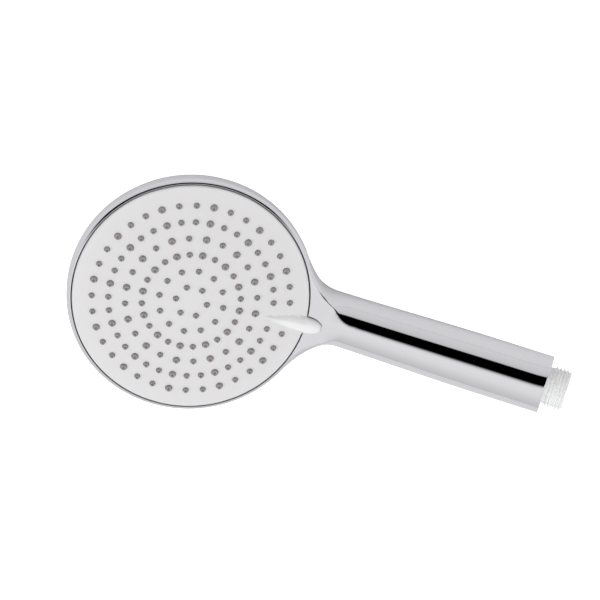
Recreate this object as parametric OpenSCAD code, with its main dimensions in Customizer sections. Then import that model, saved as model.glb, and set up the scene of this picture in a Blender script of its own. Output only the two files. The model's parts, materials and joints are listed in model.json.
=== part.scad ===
// Handheld shower head with a rotating three-way spray face and a check-valve cartridge.
// Frame: +Z is the spray face's normal, +X runs towards the inlet, z = 0 is the surface
// that the back of the head lies on, and the origin is below the middle of the outline.

/* [Head] */
// Outer radius of the chromed rim
rim_r = 61.4; // [55:0.1:70]
// Wall thickness of the chromed housing
shell_wall = 2.2; // [1.8:0.1:2.6]
// Depth of the head from the face's edge to the flat lands under the back
head_depth = 31.4; // [31:0.1:34]
// Height of the straight band round the rim
band_h = 11.7; // [9:0.1:13]

/* [Handle] */
// Tilt of the handle towards the spray side, in degrees
handle_tilt = 17; // [15:0.5:19]
// Distance from the head's axis to the root of the handle
root_x = 58; // [56:0.5:60]
// Length of the handle from its root to its square end
handle_len = 128.5; // [110:0.5:150]
// Radius of the handle at its neck
neck_r = 13.6; // [13.4:0.1:14]
// Radius of the handle at its end
handle_r = 14.7; // [14.4:0.1:15.5]

/* [Inlet] */
// Crest radius of the G1/2 male thread
thread_r = 10.48; // [10.4:0.01:10.5]
// Root radius of the thread
thread_root_r = 9.32; // [9.3:0.01:9.5]
// Pitch of the thread
thread_pitch = 1.814; // [1.8:0.001:1.82]
// Number of thread crests
thread_turns = 5; // [4:1:5]
// Length of the threaded stub beyond the handle
stub_len = 10.7; // [10.5:0.1:12]

/* [Spray face] */
// Radius of the white spray face
face_r = 58.8; // [58.5:0.1:58.9]
// Height of the face's crown over its edge
face_crown = 5; // [4.5:0.1:5.5]
// Thickness of the face
face_t = 2; // [1.8:0.1:2.2]
// Height of a nozzle nub over the face
nub_h = 2.2; // [1.2:0.1:2.5]
// Base radius of a large nub
nub_large_r = 1.7; // [1.5:0.05:1.8]
// Base radius of a small nub
nub_small_r = 1.4; // [1.2:0.05:1.5]
// Radius of the water hole in a nub
jet_r = 0.55; // [0.4:0.05:0.6]

/* [Selector] */
// Turn from one spray mode to the next, in degrees
mode_step = 30; // [28:1:30]
// Radius of the circle that the ports lie on
port_circle_r = 16; // [15.9:0.1:16.5]
// Radius of the circle that the detent dimples lie on
detent_circle_r = 30; // [30:0.5:31]
// Depth that the detent plunger drops into a dimple
detent_drop = 0.5; // [0.4:0.1:0.6]

/* [Cartridge] */
// Outer radius of the cartridge sleeve
valve_r = 7.3; // [7.2:0.05:7.35]
// Length of the cartridge
valve_len = 16; // [15.5:0.1:16]
// Radius of the bore that holds the cartridge
valve_bore_r = 7.62; // [7.6:0.01:7.64]
// How far the cartridge sits inside the inlet's mouth
valve_recess = 0.8; // [0.6:0.1:1]

/* [Hidden] */
$fn = 96;

gap = 0.05;                  // gap between neighbouring pieces of one body
run_gap = 0.06;              // running clearance between a hub and its bore
over = 1;                    // how far a cutting solid runs past a face

// Places along the head's axis, from the face's edge at 0 towards the back
rim_front_z = -0.5;
mat_t = 1.5;
plate_front_z = -4.9;        // front of the chamber plate's floor
plate_back_z = -6.5;
gasket_back_z = -7.3;
disc_front_z = -7.35;
disc_back_z = -11.3;
seat_front_z = -11.5;
seat_back_z = -14.5;
gallery_z = -20.5;           // axis of the water gallery
post_top_z = -3.9;           // top of the hub post

// Radii and other sizes inside the head
cavity_r = rim_r - shell_wall;
ridge_r = 13;
gutter_r = 10.8;             // inside of the ridge
fillet_r = 38;
web_top_z = -3;
web_bottom_z = -17;
skirt_r = 56.85;             // inside of the face's skirt
mat_r = 54.4;
plate_r = 56.7;
disc_r = 42;
seat_r = 46;
post_r = 5;
port_r = 2.5;
seal_r = 5;
gallery_r = 4.8;
gallery_wall = 1.7;
gallery_end_x = -22;
track_half_w = 2.4;          // half width of the detent track
track_depth = 0.8;
plunger_r = 2;
plunger_len = 5.4;
dimple_r = 2.3;
spring_wire = 0.5;

// Nozzle rings: radius, number of places, and every how many places a nub is large
rings = [
    [49.0, 36, 3], [40.8, 36, 3], [32.6, 24, 2],
    [24.4, 24, 2], [16.1, 12, 99], [7.8, 6, 99],
];
lever_rings = 2;             // the outer rings that leave out the place under the lever
chamber_walls = [28.5, 11.9];

// Screws
seat_screw_angles = [60, 180, 300];
seat_screw_circle_r = 41;
chamber_screw_angles = [45, 135, 225, 315];
chamber_screw_circle_r = 36.7;
screw_shank_r = 1.25;

// Selector lever
lever_root_x = 43;
lever_root_r = 2;
lever_belly_x = 56.5;
lever_belly_r = 4.2;
lever_tip_x = 64.4;
lever_tip_r = 2.4;
lever_lift = 0.2;
lever_h = 3.4;

// Handle and tube
tube_r = 9;
tube_bore_r = 6.5;
nose_r = 6.5;
nose_bore_r = 5;
socket_r = 8.5;
nose_start_s = -4.5;         // along the handle from its root
nose_end_s = 7.5;
collar_r = neck_r - shell_wall - gap;
collar_len = 8;
rib_places = [14, 60, 100];  // centring ribs along the tube
oring_places = [-2.2, 0.8];
oring_wire_r = 0.47;
oring_groove_depth = 0.9;

// Cartridge, measured from its lip towards the head
lip_len = 0.9;
groove_start = 1.2;
groove_end = 2.8;
groove_r = 6.35;
sleeve_bore_r = 6;
sleeve_end = 13.5;
valve_seat_start = 3;
valve_seat_end = 4.2;
valve_seat_r = 4.2;
poppet_front = 4.9;
poppet_t = 1.2;
poppet_r = 5.2;
stem_r = 1;
stem_end = 14;
guide_hub_r = 2;
guide_hub_start = 12;
valve_spring_r = 1.7;

// Lands under the back, and the places of the hub's and the detent's pieces
land_cut = 0.6;              // how far the lands cut into the back's roundness
ridge_inset = 1;             // ridge's underside above the back's deepest point
boss_r = 3.4;
boss_bore_z = -21.4;
seal_back_z = -14.5;
spring_pocket_z = -18;
detent_pocket_z = -18.9;
hub_bore_z = -13.2;
hub_ring_z = -8.7;
hub_groove_h = 1.3;
hub_groove_depth = 0.9;
hub_washer_r = 7.2;
hub_washer_t = 0.9;

// Derived sizes
round_depth = head_depth + land_cut;
face_sphere_r = (face_r * face_r + face_crown * face_crown) / (2 * face_crown);
face_sphere_z = face_crown - face_sphere_r;
dome_sag = round_depth - band_h;
back_sphere_r = (rim_r * rim_r + dome_sag * dome_sag) / (2 * dome_sag);
back_sphere_z = back_sphere_r - round_depth;
root_z = neck_r - round_depth;
root_bore_r = neck_r - shell_wall;
mouth_s = handle_len + stub_len;
valve_s = mouth_s - valve_recess;
valve_step_s = valve_s - valve_len - 0.1;
reach_x = root_x + mouth_s * cos(handle_tilt) + thread_r * sin(handle_tilt);
middle_x = (reach_x - rim_r) / 2;
valve_spring_front = poppet_front + poppet_t + gap;

// Height of the face's outer surface at a distance r from its axis
function dome_z(r) = face_sphere_z + sqrt(face_sphere_r * face_sphere_r - r * r);
// Smooth step from 0 to 1
function ease(t) = t * t * (3 - 2 * t);
// Radius of the handle at a distance s from its root
function grip_r(s) = neck_r + (handle_r - neck_r) * ease(min(1, max(0, s / handle_len * 1.6 - 0.2)));

// ---- Placing ----

// From the head's own frame (z = 0 at the face's edge) to the part's frame
module on_head() {
    translate([-middle_x, 0, head_depth]) children();
}

// Onto the handle's axis, a distance s from its root
module on_handle(s = 0) {
    on_head() translate([root_x, 0, root_z]) rotate([0, 90 - handle_tilt, 0])
        translate([0, 0, s]) children();
}

// Into the cartridge's own frame, from its lip towards the head
module in_valve() {
    on_handle(valve_s) rotate([180, 0, 0]) children();
}

module polar(r, angle) {
    rotate([0, 0, angle]) translate([r, 0, 0]) children();
}

// ---- Shapes that repeat ----

module tube(r, bore, h) {
    difference() {
        cylinder(r = r, h = h);
        translate([0, 0, -over]) cylinder(r = bore, h = h + 2 * over);
    }
}

module oring(ring_r, wire_r) {
    rotate_extrude() translate([ring_r, 0]) circle(r = wire_r, $fn = 32);
}

// Pan-head screw with a cross recess, its head's seat at z = 0 and its shank downwards
module screw(head_r, head_h, shank_len) {
    difference() {
        union() {
            cylinder(r = head_r, h = head_h);
            translate([0, 0, -shank_len]) cylinder(r = screw_shank_r, h = shank_len);
        }
        for (turn = [0, 90])
            rotate([0, 0, turn]) translate([-head_r * 0.6, -0.3, head_h * 0.45])
                cube([head_r * 1.2, 0.6, head_h]);
    }
}

// Coil spring swept along a helix, its ends flat on z = 0 and z = h
module coil(mean_r, wire, h, turns) {
    steps = 14;
    sides = 6;
    count = turns * steps;
    rise = h - wire;
    ring_points = [
        for (i = [0:count], j = [0:sides - 1])
            let (
                a = 360 * i / steps,
                b = 360 * j / sides,
                r = mean_r + wire / 2 * cos(b),
                z = wire / 2 + rise * i / count + wire / 2 * sin(b)
            )
            [r * cos(a), r * sin(a), z]
    ];
    side_faces = [
        for (i = [0:count - 1], j = [0:sides - 1])
            let (k = (j + 1) % sides)
            [i * sides + j, i * sides + k, (i + 1) * sides + k, (i + 1) * sides + j]
    ];
    first_cap = [for (j = [sides - 1:-1:0]) j];
    last_cap = [for (j = [0:sides - 1]) count * sides + j];
    polyhedron(points = ring_points, faces = concat(side_faces, [first_cap, last_cap]));
}

// Whether a place in a ring holds a nozzle, and how wide the nozzle is
function has_nozzle(ring, place) = !(ring < lever_rings && place == 0);
function nozzle_r(ring, place) = place % rings[ring][2] == 0 && rings[ring][2] < 99 ? nub_large_r : nub_small_r;

module at_nozzles() {
    for (ring = [0:len(rings) - 1], place = [0:rings[ring][1] - 1])
        if (has_nozzle(ring, place)) {
            $nozzle_r = nozzle_r(ring, place);
            $top_z = dome_z(rings[ring][0]);
            polar(rings[ring][0], 360 * place / rings[ring][1]) children();
        }
}

// Everything under a sphere that lies a depth below the face's outer surface
module under_face(depth, r) {
    intersection() {
        translate([0, 0, face_sphere_z]) sphere(r = face_sphere_r - depth, $fn = 360);
        translate([0, 0, -head_depth]) cylinder(r = r, h = 2 * head_depth);
    }
}

module screw_hole(shank_h, head_r, head_h) {
    translate([0, 0, -shank_h]) cylinder(r = screw_shank_r + gap, h = shank_h + over);
    cylinder(r = head_r + 2 * gap, h = head_h);
}

// ---- Fixed pieces ----

module head_outside() {
    intersection() {
        translate([0, 0, back_sphere_z]) sphere(r = back_sphere_r, $fn = 240);
        translate([0, 0, -head_depth - over])
            cylinder(r = rim_r, h = head_depth + over + rim_front_z);
    }
}

// Ridge along the back, from the middle of the head to the root of the handle
module back_ridge() {
    translate([0, 0, ridge_r + ridge_inset - round_depth]) rotate([0, 90, 0])
        cylinder(r = ridge_r, h = root_x);
}

// Web that fills the corners between the rim and the handle, seen from the front
module neck_web() {
    fillet_y = neck_r + fillet_r;
    fillet_x = sqrt(pow(rim_r + fillet_r, 2) - pow(fillet_y, 2));
    rim_angle = atan2(fillet_y, fillet_x);
    translate([0, 0, web_bottom_z]) linear_extrude(web_top_z - web_bottom_z) difference() {
        polygon([
            [30, -25],
            [rim_r * cos(rim_angle) - 1, -rim_r * sin(rim_angle) + 1],
            [fillet_x, -neck_r + 1],
            [fillet_x, neck_r - 1],
            [rim_r * cos(rim_angle) - 1, rim_r * sin(rim_angle) - 1],
            [30, 25],
        ]);
        for (side = [-1, 1])
            translate([fillet_x, side * fillet_y]) circle(r = fillet_r, $fn = 180);
    }
}

// The handle and the ball at its root
module handle_outside() {
    stations = 12;
    ball = [for (a = [-90:10:-10]) [neck_r * cos(a), neck_r * sin(a)]];
    profile = [for (i = [0:stations]) [grip_r(handle_len * i / stations), handle_len * i / stations]];
    rotate_extrude() polygon(concat(ball, profile, [[0, handle_len]]));
}

module head_cavity() {
    intersection() {
        translate([0, 0, back_sphere_z]) sphere(r = back_sphere_r - shell_wall, $fn = 240);
        translate([0, 0, -head_depth]) cylinder(r = cavity_r, h = 2 * head_depth);
    }
    translate([-12, 0, root_z]) rotate([0, 90, 0]) cylinder(r = gutter_r, h = root_x + 12);
    translate([root_x, 0, root_z]) sphere(r = root_bore_r + gap);
}

module seat_bosses() {
    intersection() {
        translate([0, 0, back_sphere_z]) sphere(r = back_sphere_r - shell_wall / 2, $fn = 240);
        for (angle = seat_screw_angles)
            polar(seat_screw_circle_r, angle) cylinder_down(boss_r, seat_back_z - gap, -head_depth);
    }
}

module body_shell() color("silver") {
    difference() {
        union() {
            difference() {
                union() {
                    on_head() head_outside();
                    on_head() back_ridge();
                    on_head() neck_web();
                    on_handle() handle_outside();
                }
                on_head() head_cavity();
                on_handle() cylinder(r = root_bore_r, h = handle_len + over);
            }
            on_head() seat_bosses();
        }
        on_head() for (angle = seat_screw_angles)
            polar(seat_screw_circle_r, angle) cylinder_down(screw_shank_r + gap, boss_bore_z + 10, boss_bore_z);
        on_head() cylinder_down(2 * rim_r, -head_depth, -head_depth - 10);
    }
}

// One ridge of the thread, with a narrow land at its crest
module thread_ridge() {
    land = 0.3;
    flank = (thread_r - thread_root_r) * tan(27.5);
    rotate_extrude() polygon([
        [thread_root_r - 0.5, -land / 2 - flank],
        [thread_root_r, -land / 2 - flank],
        [thread_r, -land / 2],
        [thread_r, land / 2],
        [thread_root_r, land / 2 + flank],
        [thread_root_r - 0.5, land / 2 + flank],
    ]);
}

module water_tube() color("white") {
    first_crest_s = mouth_s - 0.9 - (thread_turns - 1) * thread_pitch;
    difference() {
        union() {
            on_handle(nose_start_s) cylinder(r = nose_r, h = nose_end_s - nose_start_s + over);
            on_handle(nose_end_s) cylinder(r = tube_r, h = mouth_s - nose_end_s);
            on_handle(handle_len - collar_len) cylinder(r = collar_r, h = collar_len);
            for (place = rib_places)
                on_handle(place) cylinder(r = collar_r, h = 2);
            on_handle(handle_len) cylinder(r = thread_root_r, h = stub_len);
            for (turn = [0:thread_turns - 1])
                on_handle(first_crest_s + turn * thread_pitch) thread_ridge();
        }
        on_handle(nose_start_s - over) cylinder(r = nose_bore_r, h = 20);
        on_handle(nose_end_s + 4) cylinder(r = tube_bore_r, h = handle_len);
        on_handle(valve_step_s) cylinder(r = valve_bore_r, h = mouth_s);
        for (place = oring_places)
            on_handle(place - oring_wire_r) tube(nose_r + over, nose_r - oring_groove_depth, 2 * oring_wire_r);
    }
}

module tube_orings() color("black") {
    for (place = oring_places)
        on_handle(place) oring(nose_r - (oring_groove_depth - gap) / 2, oring_wire_r - 0.01);
}

module diverter_seat() color("ivory") {
    difference() {
        union() {
            on_head() translate([0, 0, seat_back_z]) cylinder(r = seat_r, h = seat_front_z - seat_back_z);
            on_head() cylinder_down(post_r, post_top_z, seat_back_z);
            on_head() translate([gallery_end_x, 0, gallery_z]) rotate([0, 90, 0])
                cylinder(r = gallery_r + gallery_wall, h = root_x - 6 - gallery_end_x);
            on_head() translate([-port_circle_r, 0, 0]) cylinder_down(seal_r + 2, seat_front_z, gallery_z);
            on_head() translate([-detent_circle_r, 0, 0]) cylinder_down(plunger_r + 1.5, seat_front_z, -20);
            on_head() translate([0, -1.2, gallery_z]) cube([root_x - 8, 2.4, seat_back_z - gallery_z + over]);
            on_handle(nose_start_s - 2) cylinder(r = socket_r, h = nose_end_s - nose_start_s);
        }
        on_head() translate([gallery_end_x + 2, 0, gallery_z]) rotate([0, 90, 0])
            cylinder(r = gallery_r, h = root_x - 6 - gallery_end_x - 2);
        on_head() translate([-port_circle_r, 0, 0]) {
            cylinder_down(seal_r + gap, seat_front_z + over, spring_pocket_z);
            cylinder_down(3, seat_front_z, gallery_z);
        }
        on_head() translate([-detent_circle_r, 0, 0])
            cylinder_down(plunger_r + run_gap, seat_front_z + over, detent_pocket_z);
        on_handle(nose_start_s) cylinder(r = nose_r + gap, h = 40);
        on_head() cylinder_down(screw_shank_r + gap, post_top_z + over, hub_bore_z);
        on_head() translate([0, 0, hub_ring_z - hub_groove_h / 2])
            tube(post_r + over, post_r - hub_groove_depth, hub_groove_h);
        on_head() for (angle = seat_screw_angles)
            polar(seat_screw_circle_r, angle) translate([0, 0, seat_front_z - 1.9]) screw_hole(4, 2.6, 4);
    }
}

// Cylinder between two heights
module cylinder_down(r, top, bottom) {
    translate([0, 0, bottom]) cylinder(r = r, h = top - bottom);
}

module seat_screws() color("gainsboro") {
    on_head() for (angle = seat_screw_angles)
        polar(seat_screw_circle_r, angle) translate([0, 0, seat_front_z - 1.88]) screw(2.6, 1.7, 7.6);
}

module port_seal() color("dimgray") {
    on_head() translate([-port_circle_r, 0, seal_back_z])
        tube(seal_r, port_r, disc_back_z - seal_back_z - 0.02);
}

module port_spring() color("lightgray") {
    on_head() translate([-port_circle_r, 0, spring_pocket_z + 0.03])
        coil(4.2, spring_wire, seal_back_z - spring_pocket_z - 0.05, 4);
}

module hub_oring() color("black") {
    on_head() translate([0, 0, hub_ring_z]) oring(post_r - hub_groove_depth / 2, hub_groove_depth / 2 - 0.02);
}

module hub_washer() color("lightgray") {
    on_head() translate([0, 0, post_top_z + 0.01]) tube(hub_washer_r, screw_shank_r + gap, hub_washer_t);
}

module hub_screw() color("gainsboro") {
    on_head() translate([0, 0, post_top_z + hub_washer_t + 0.03]) screw(4, 1.9, 9);
}

// ---- Detent ----

module detent_plunger() color("whitesmoke") {
    ball_z = disc_back_z + track_depth - 0.1 - plunger_r;
    on_head() translate([-detent_circle_r, 0, 0]) {
        cylinder_down(plunger_r, ball_z, ball_z + plunger_r - plunger_len);
        translate([0, 0, ball_z]) sphere(r = plunger_r);
    }
}

module detent_spring() color("lightgray") {
    on_head() translate([-detent_circle_r, 0, detent_pocket_z + 0.03]) coil(1.4, 0.4, 2.84, 5);
}

// ---- Rotating pieces ----

module port_disc() color("white") {
    on_head() difference() {
        cylinder_down(disc_r, disc_front_z, disc_back_z);
        cylinder_down(post_r + run_gap, disc_front_z + over, disc_back_z - over);
        for (step = [-1, 0, 1])
            polar(port_circle_r, 180 + step * mode_step)
                cylinder_down(port_r, disc_front_z + over, disc_back_z - over);
        channel(9, port_circle_r, 180 - mode_step);
        channel(port_circle_r, 33, 180 + mode_step);
        rotate([0, 0, 180 - 1.2 * mode_step]) translate([0, 0, disc_back_z - over])
            rotate_extrude(angle = 2.4 * mode_step)
            translate([detent_circle_r - track_half_w, 0]) square([2 * track_half_w, track_depth + over]);
        for (step = [-1, 0, 1])
            polar(detent_circle_r, 180 + step * mode_step)
                translate([0, 0, disc_back_z + track_depth + detent_drop - 0.1 - plunger_r]) sphere(r = dimple_r);
        for (angle = chamber_screw_angles)
            polar(chamber_screw_circle_r, angle) translate([0, 0, disc_back_z + 1.6]) rotate([180, 0, 0])
                screw_hole(4, 2.4, 3);
    }
}

// Radial groove in the front of the ported disc, with round ends
module channel(from_r, to_r, angle) {
    depth = 1.5;
    rotate([0, 0, angle]) {
        translate([from_r, -2, disc_front_z - depth]) cube([to_r - from_r, 4, depth + over]);
        for (r = [from_r, to_r])
            translate([r, 0, 0]) cylinder_down(2, disc_front_z + over, disc_front_z - depth);
    }
}

module plate_ports() {
    polar(9, 180 - mode_step) cylinder_down(1.9, 0, disc_front_z);
    polar(port_circle_r, 180) cylinder_down(port_r, 0, disc_front_z);
    polar(33, 180 + mode_step) cylinder_down(2.5, 0, disc_front_z);
}

module channel_gasket() color("dimgray") {
    on_head() difference() {
        cylinder_down(disc_r - 0.5, plate_back_z - 0.02, gasket_back_z);
        cylinder_down(post_r + 0.4, 0, disc_front_z);
        plate_ports();
        for (angle = chamber_screw_angles)
            polar(chamber_screw_circle_r, angle) cylinder_down(1.5, 0, disc_front_z);
    }
}

module ring_wall(r, half_t) {
    translate([0, 0, plate_back_z]) tube(r + half_t, r - half_t, head_depth);
}

module chamber_plate() color("white") {
    on_head() difference() {
        intersection() {
            union() {
                cylinder_down(plate_r, plate_front_z, plate_back_z);
                for (r = chamber_walls) ring_wall(r, 0.8);
                ring_wall((plate_r + mat_r) / 2 - 1, (plate_r - mat_r) / 2 + 0.6);
                cylinder_down(6.9, post_top_z - 0.12, plate_back_z);
                for (angle = chamber_screw_angles)
                    polar(chamber_screw_circle_r, angle) cylinder_down(2.3, 0, plate_back_z);
            }
            under_face(face_t + mat_t + 2 * gap, plate_r);
        }
        cylinder_down(post_r + run_gap, over, plate_back_z - over);
        translate([0, 0, -over]) plate_ports();
        for (angle = chamber_screw_angles)
            polar(chamber_screw_circle_r, angle) cylinder_down(screw_shank_r + gap, -3, plate_back_z - over);
    }
}

module chamber_screws() color("gainsboro") {
    on_head() for (angle = chamber_screw_angles)
        polar(chamber_screw_circle_r, angle) translate([0, 0, disc_back_z + 1.58]) rotate([180, 0, 0])
            screw(2.4, 1.4, 6.2);
}

// The mat's sheet, whose bends lie between the nozzle rings
module mat_sheet() {
    bends = [0, 11.9, 20.2, 28.5, 36.7, 44.9, mat_r];
    last = len(bends) - 1;
    rotate_extrude() polygon(concat(
        [for (r = bends) [r, dome_z(r) - face_t - gap]],
        [for (i = [last:-1:0]) [bends[i], dome_z(bends[i]) - face_t - mat_t]]
    ));
}

module nozzle_mat() color("darkgray") {
    on_head() difference() {
        union() {
            mat_sheet();
            at_nozzles() translate([0, 0, $top_z - face_t - mat_t * 0.6])
                cylinder(r1 = $nozzle_r, r2 = $nozzle_r * 0.72, h = face_t + mat_t * 0.6 + nub_h, $fn = 32);
        }
        at_nozzles() translate([0, 0, $top_z - 5]) cylinder(r = jet_r, h = 9, $fn = 16);
    }
}

// Selector lever: a leaf that widens over the face's edge and narrows to its tip
module lever() {
    hull() {
        translate([lever_tip_x, 0, lever_lift]) cylinder(r = lever_tip_r, h = lever_h - 1, $fn = 32);
        translate([lever_tip_x - 0.3, 0, lever_lift]) cylinder(r = lever_tip_r - 1, h = lever_h, $fn = 32);
        translate([lever_belly_x, 0, lever_lift]) cylinder(r = lever_belly_r, h = 1, $fn = 32);
        translate([lever_belly_x, 0, lever_lift]) cylinder(r = lever_belly_r - 1.8, h = lever_h + 0.3, $fn = 32);
        translate([lever_root_x, 0, lever_lift])
            cylinder(r = lever_root_r, h = dome_z(lever_root_x) - lever_lift, $fn = 32);
    }
}

module face_plate() color("white") {
    on_head() {
        difference() {
            union() {
                under_face_shell();
                lever();
            }
            at_nozzles() translate([0, 0, $top_z - 5])
                cylinder(r = $nozzle_r + gap, h = 10, $fn = 32);
        }
    }
}

// The face's dome and skirt, and the bead that snaps behind the chamber plate
module under_face_shell() {
    intersection() {
        under_face(0, face_r);
        union() {
            difference() {
                translate([0, 0, -over]) cylinder(r = face_r, h = face_crown + 2 * over);
                under_face(face_t, face_r + over);
            }
            difference() {
                cylinder_down(face_r, 3, -7.6);
                cylinder_down(skirt_r, 3, -8.6);
            }
            difference() {
                cylinder_down(face_r, -6.7, -7.4);
                cylinder_down(skirt_r - 0.6, 0, -8.6);
            }
        }
    }
}

// ---- Cartridge ----

module valve_sleeve() color("#202225") {
    in_valve() difference() {
        union() {
            cylinder(r = valve_r, h = sleeve_end);
            cylinder(r = valve_bore_r - 0.1, h = lip_len);
        }
        translate([0, 0, groove_start]) tube(valve_r + over, groove_r, groove_end - groove_start);
        translate([0, 0, valve_seat_end]) cylinder(r = sleeve_bore_r, h = sleeve_end);
        translate([0, 0, -over]) cylinder(r = valve_seat_r, h = sleeve_end);
        translate([0, 0, -over]) cylinder(r = sleeve_bore_r - 0.8, h = valve_seat_start + over);
    }
}

module valve_oring() color("black") {
    in_valve() translate([0, 0, (groove_start + groove_end) / 2]) oring(6.97, 0.6);
}

module valve_guide() color("white") {
    in_valve() difference() {
        union() {
            translate([0, 0, sleeve_end + gap / 2]) tube(valve_r, sleeve_bore_r, valve_len - sleeve_end);
            translate([0, 0, guide_hub_start]) cylinder(r = guide_hub_r, h = valve_len - guide_hub_start);
            for (angle = [0, 120, 240])
                rotate([0, 0, angle]) translate([0, -0.7, sleeve_end + gap])
                    cube([sleeve_bore_r + 0.5, 1.4, valve_len - sleeve_end - 0.3]);
        }
        translate([0, 0, guide_hub_start - over]) cylinder(r = stem_r + run_gap, h = valve_len);
    }
}

module valve_poppet() color("whitesmoke") {
    in_valve() {
        translate([0, 0, poppet_front]) cylinder(r = poppet_r, h = poppet_t);
        cylinder_up(stem_r, poppet_front, stem_end);
    }
}

module cylinder_up(r, bottom, top) {
    translate([0, 0, bottom]) cylinder(r = r, h = top - bottom);
}

module poppet_seal() color("black") {
    in_valve() translate([0, 0, valve_seat_end + gap])
        tube(poppet_r - 0.1, valve_seat_r - 0.8, poppet_front - valve_seat_end - 1.5 * gap);
}

module valve_spring() color("lightgray") {
    in_valve() translate([0, 0, valve_spring_front])
        coil(valve_spring_r, 0.4, guide_hub_start - valve_spring_front - gap, 6);
}

body_shell();
water_tube();
tube_orings();
diverter_seat();
seat_screws();
port_seal();
port_spring();
hub_oring();
hub_washer();
hub_screw();
detent_plunger();
detent_spring();
port_disc();
channel_gasket();
chamber_plate();
chamber_screws();
nozzle_mat();
face_plate();
valve_sleeve();
valve_oring();
valve_guide();
valve_spring();
valve_poppet();
poppet_seal();
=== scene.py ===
"""Handheld shower head: finished pieces, their materials and a plain studio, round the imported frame."""

import json
import math

import bmesh
import bpy
import numpy as np
from mathutils import Matrix, Vector
from mathutils.geometry import delaunay_2d_cdt


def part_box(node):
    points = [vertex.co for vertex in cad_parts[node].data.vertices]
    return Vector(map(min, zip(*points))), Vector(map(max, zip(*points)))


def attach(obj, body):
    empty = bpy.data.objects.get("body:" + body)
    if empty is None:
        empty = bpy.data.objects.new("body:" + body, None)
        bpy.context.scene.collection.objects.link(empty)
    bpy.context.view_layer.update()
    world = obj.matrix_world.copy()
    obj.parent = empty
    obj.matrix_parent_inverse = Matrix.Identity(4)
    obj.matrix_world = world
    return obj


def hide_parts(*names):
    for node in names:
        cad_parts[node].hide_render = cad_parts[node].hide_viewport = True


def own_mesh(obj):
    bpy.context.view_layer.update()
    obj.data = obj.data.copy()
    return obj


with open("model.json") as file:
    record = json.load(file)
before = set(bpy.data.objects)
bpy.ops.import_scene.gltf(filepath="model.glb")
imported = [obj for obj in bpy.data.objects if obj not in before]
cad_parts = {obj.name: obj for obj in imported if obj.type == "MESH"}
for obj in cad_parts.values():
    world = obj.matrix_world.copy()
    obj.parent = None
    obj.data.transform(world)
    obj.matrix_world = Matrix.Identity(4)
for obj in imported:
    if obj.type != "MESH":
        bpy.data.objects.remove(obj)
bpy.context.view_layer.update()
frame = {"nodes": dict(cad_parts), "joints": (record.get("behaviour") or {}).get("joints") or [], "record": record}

# ---- The head's own frame, in millimetres: z = 0 at the face's edge, x = 0 on the face's axis ----

joints = {joint["name"]: joint for joint in frame["joints"]}
HEAD = np.array(joints["selector_turn"]["pos_m"])
GRIP_DIR = np.array(joints["cartridge_pull"]["axis"], float)
GRIP_DIR /= np.linalg.norm(GRIP_DIR)
GRIP_SLOPE = GRIP_DIR[2] / GRIP_DIR[0]
GRIP_UP = np.array([-GRIP_DIR[2], 0.0, GRIP_DIR[0]])
GRIP_SIDE = np.array([0.0, 1.0, 0.0])
FLOOR_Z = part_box("body_shell")[0].z

RIM_R = 61.4
RIM_FRONT_Z = -0.5
LIP_BORE_R = 59.27
LIP_ROUND = 3.0
BAND_END_Z = -11.7
BACK_DEPTH = 32.0
LAND_Z = (FLOOR_Z - HEAD[2]) * 1000
BACK_SAG = BACK_DEPTH + BAND_END_Z
BACK_R = (RIM_R ** 2 + BACK_SAG ** 2) / (2 * BACK_SAG)
BACK_MID_Z = BACK_R - BACK_DEPTH
WALL = 2.2

ROOT = np.array([58.0, 0.0, -18.4])
NECK_R = 13.6
END_R = 14.7
GRIP_LEN = 128.5
GRIP_BORE_R = 11.4
NECK_FILLET = 20.3

FACE_R = 58.72
FACE_CROWN = 5.0
FACE_SPHERE_R = (FACE_R ** 2 + FACE_CROWN ** 2) / (2 * FACE_CROWN)
FACE_SPHERE_Z = FACE_CROWN - FACE_SPHERE_R
FACE_T = 2.0
LEVER_TURN = math.radians(-1.7)

# Nozzle rings: radius, places, and every how many places the nub is large
RINGS = [(49.0, 36, 3), (40.8, 36, 3), (32.6, 24, 2), (24.4, 24, 2), (16.1, 12, 99), (7.8, 6, 99)]
LEVER_RINGS = 2
NUB_LARGE_R = 1.7
NUB_SMALL_R = 1.4


def to_row(points):
    """Head-frame millimetres to row-frame metres."""
    return HEAD + np.asarray(points, float) / 1000


def around(count):
    """Evenly spaced angles round a full turn."""
    return np.linspace(0, 2 * math.pi, count, endpoint=False)


def add_object(name, data):
    """A new object in the scene's own collection."""
    thing = bpy.data.objects.new(name, data)
    bpy.context.scene.collection.objects.link(thing)
    return thing


# ---- Camera ----

CAMERA_LENS = 154.6
CAMERA_SENSOR = 36.0
CAMERA_AIM_Z = 1.5
CAMERA_FROM_FACE = np.array([-150.5, 453.8, 1178.8])
CAMERA_RIGHT = Vector((0.96697, 0.24354, 0.07527))
CAMERA_UP = Vector((-0.19896, 0.90567, -0.37440))
CAMERA_BACK = Vector((-0.15935, 0.34706, 0.92421))

camera_data = bpy.data.cameras.new("studio_camera")
camera_data.lens = CAMERA_LENS
camera_data.sensor_width = CAMERA_SENSOR
camera_data.clip_end = 20
camera = add_object("studio_camera", camera_data)
turn = Matrix((CAMERA_RIGHT, CAMERA_UP, CAMERA_BACK)).transposed().to_4x4()
camera.matrix_world = Matrix.Translation(Vector(to_row(CAMERA_FROM_FACE + [0, 0, CAMERA_AIM_Z]))) @ turn
bpy.context.scene.camera = camera
bpy.context.scene.view_settings.view_transform = "Standard"


# ---- Shader groups ----

def new_node(tree, kind, place=(0, 0), **settings):
    node = tree.nodes.new(kind)
    node.location = place
    for name, value in settings.items():
        setattr(node, name, value)
    return node


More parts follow.
